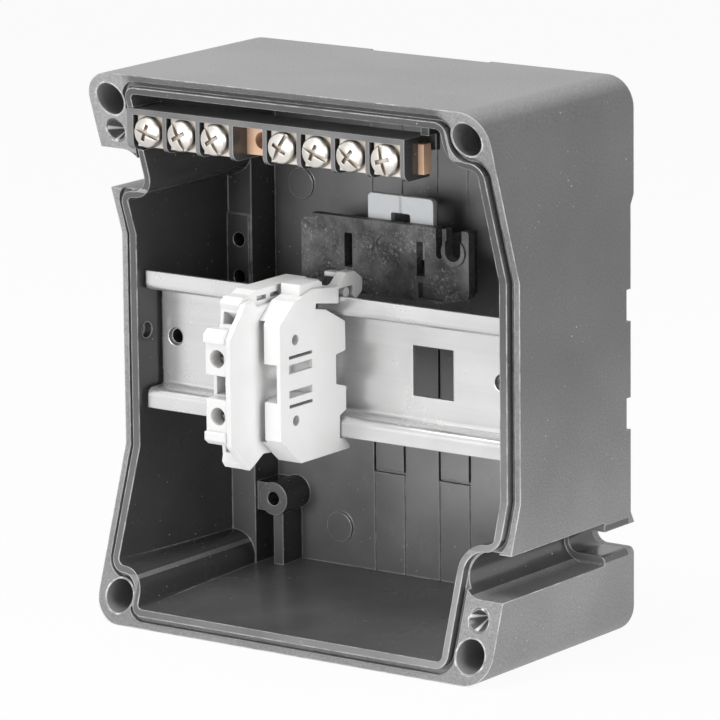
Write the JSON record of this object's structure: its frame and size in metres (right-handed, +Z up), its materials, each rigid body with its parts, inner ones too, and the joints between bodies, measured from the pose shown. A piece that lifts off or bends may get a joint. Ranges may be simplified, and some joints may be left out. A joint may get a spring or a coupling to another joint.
{
  "type": "terminal box",
  "caption": "Open wall-mount terminal box: black moulded base with stepped sealing rim, top-hat rail with terminal block and end bracket, and a screw-clamp copper bar.",
  "frame": {"origin": "middle of the flat underside, at half the width and half the depth of the base", "axes": "+X to the right seen from the open front, +Y from the front to the wall, +Z up"},
  "size_m": [0.12, 0.0848, 0.14],
  "materials": {
    "housing_black": "moulded thermoset, semi-gloss with fine scuffs",
    "carrier_black": "moulded, gloss",
    "bracket_black": "speckled, matt",
    "nylon": "natural nylon, slightly translucent",
    "rail_steel": "passivated, lengthwise rolled",
    "copper": "bare copper, rolled",
    "plated": "nickel plated",
    "off_white": "moulded polyamide, satin"
  },
  "bodies": {
    "box": {"base": "housing_black", "din_rail": "rail_steel", "support_bracket": "bracket_black", "nylon_clip": "nylon", "bar_carrier": "carrier_black", "copper_bar": "copper", "terminal_body": "off_white", "end_plate": "off_white", "current_bar": "copper", "end_bracket": "off_white"},
    "clamp_plate_1": {"clamp_plate_1": "plated"},
    "bar_screw_1": {"bar_screw_1": "plated"},
    "clamp_plate_2": {"clamp_plate_2": "plated"},
    "bar_screw_2": {"bar_screw_2": "plated"},
    "clamp_plate_3": {"clamp_plate_3": "plated"},
    "bar_screw_3": {"bar_screw_3": "plated"},
    "clamp_plate_5": {"clamp_plate_5": "plated"},
    "bar_screw_5": {"bar_screw_5": "plated"},
    "clamp_plate_6": {"clamp_plate_6": "plated"},
    "bar_screw_6": {"bar_screw_6": "plated"},
    "clamp_plate_7": {"clamp_plate_7": "plated"},
    "bar_screw_7": {"bar_screw_7": "plated"},
    "clamp_plate_8": {"clamp_plate_8": "plated"},
    "bar_screw_8": {"bar_screw_8": "plated"},
    "upper_yoke": {"upper_yoke": "plated"},
    "upper_screw": {"upper_screw": "plated"},
    "lower_yoke": {"lower_yoke": "plated"},
    "lower_screw": {"lower_screw": "plated"}
  },
  "joints": [
    {"name": "plate_1_slide", "type": "slide", "parent": "box", "child": "clamp_plate_1", "axis": [0, -1, 0], "range_m": [-0.0031, 0.0015]},
    {"name": "screw_1_turn", "type": "hinge", "parent": "clamp_plate_1", "child": "bar_screw_1", "pos_m": [-0.042, -0.026, 0.12575], "axis": [0, -1, 0], "range_deg": [-1600, 777]},
    {"name": "plate_2_slide", "type": "slide", "parent": "box", "child": "clamp_plate_2", "axis": [0, -1, 0], "range_m": [-0.0031, 0.0015]},
    {"name": "screw_2_turn", "type": "hinge", "parent": "clamp_plate_2", "child": "bar_screw_2", "pos_m": [-0.0318, -0.026, 0.12575], "axis": [0, -1, 0], "range_deg": [-1600, 777]},
    {"name": "plate_3_slide", "type": "slide", "parent": "box", "child": "clamp_plate_3", "axis": [0, -1, 0], "range_m": [-0.0031, 0.0015]},
    {"name": "screw_3_turn", "type": "hinge", "parent": "clamp_plate_3", "child": "bar_screw_3", "pos_m": [-0.0216, -0.026, 0.12575], "axis": [0, -1, 0], "range_deg": [-1600, 777]},
    {"name": "plate_5_slide", "type": "slide", "parent": "box", "child": "clamp_plate_5", "axis": [0, -1, 0], "range_m": [-0.0031, 0.0015]},
    {"name": "screw_5_turn", "type": "hinge", "parent": "clamp_plate_5", "child": "bar_screw_5", "pos_m": [-0.0012, -0.026, 0.12575], "axis": [0, -1, 0], "range_deg": [-1600, 777]},
    {"name": "plate_6_slide", "type": "slide", "parent": "box", "child": "clamp_plate_6", "axis": [0, -1, 0], "range_m": [-0.0031, 0.0015]},
    {"name": "screw_6_turn", "type": "hinge", "parent": "clamp_plate_6", "child": "bar_screw_6", "pos_m": [0.009, -0.026, 0.12575], "axis": [0, -1, 0], "range_deg": [-1600, 777]},
    {"name": "plate_7_slide", "type": "slide", "parent": "box", "child": "clamp_plate_7", "axis": [0, -1, 0], "range_m": [-0.0031, 0.0015]},
    {"name": "screw_7_turn", "type": "hinge", "parent": "clamp_plate_7", "child": "bar_screw_7", "pos_m": [0.0192, -0.026, 0.12575], "axis": [0, -1, 0], "range_deg": [-1600, 777]},
    {"name": "plate_8_slide", "type": "slide", "parent": "box", "child": "clamp_plate_8", "axis": [0, -1, 0], "range_m": [-0.0031, 0.0015]},
    {"name": "screw_8_turn", "type": "hinge", "parent": "clamp_plate_8", "child": "bar_screw_8", "pos_m": [0.0294, -0.026, 0.12575], "axis": [0, -1, 0], "range_deg": [-1600, 777]},
    {"name": "upper_screw_turn", "type": "hinge", "parent": "box", "child": "upper_screw", "pos_m": [-0.00475, -0.044, 0.0773], "axis": [0, -1, 0], "range_deg": [-1405, 1845]},
    {"name": "upper_yoke_slide", "type": "slide", "parent": "box", "child": "upper_yoke", "axis": [0, -1, 0], "range_m": [-0.0023, 0.00175]},
    {"name": "lower_screw_turn", "type": "hinge", "parent": "box", "child": "lower_screw", "pos_m": [-0.00475, -0.044, 0.0631], "axis": [0, -1, 0], "range_deg": [-1405, 1845]},
    {"name": "lower_yoke_slide", "type": "slide", "parent": "box", "child": "lower_yoke", "axis": [0, -1, 0], "range_m": [-0.0023, 0.00175]}
  ],
  "couplings": [
    {"joint": "screw_1_turn", "follows": "plate_1_slide", "rad_per_m": 8976},
    {"joint": "screw_2_turn", "follows": "plate_2_slide", "rad_per_m": 8976},
    {"joint": "screw_3_turn", "follows": "plate_3_slide", "rad_per_m": 8976},
    {"joint": "screw_5_turn", "follows": "plate_5_slide", "rad_per_m": 8976},
    {"joint": "screw_6_turn", "follows": "plate_6_slide", "rad_per_m": 8976},
    {"joint": "screw_7_turn", "follows": "plate_7_slide", "rad_per_m": 8976},
    {"joint": "screw_8_turn", "follows": "plate_8_slide", "rad_per_m": 8976},
    {"joint": "upper_screw_turn", "follows": "upper_yoke_slide", "rad_per_m": -13963},
    {"joint": "lower_screw_turn", "follows": "lower_yoke_slide", "rad_per_m": -13963}
  ]
}
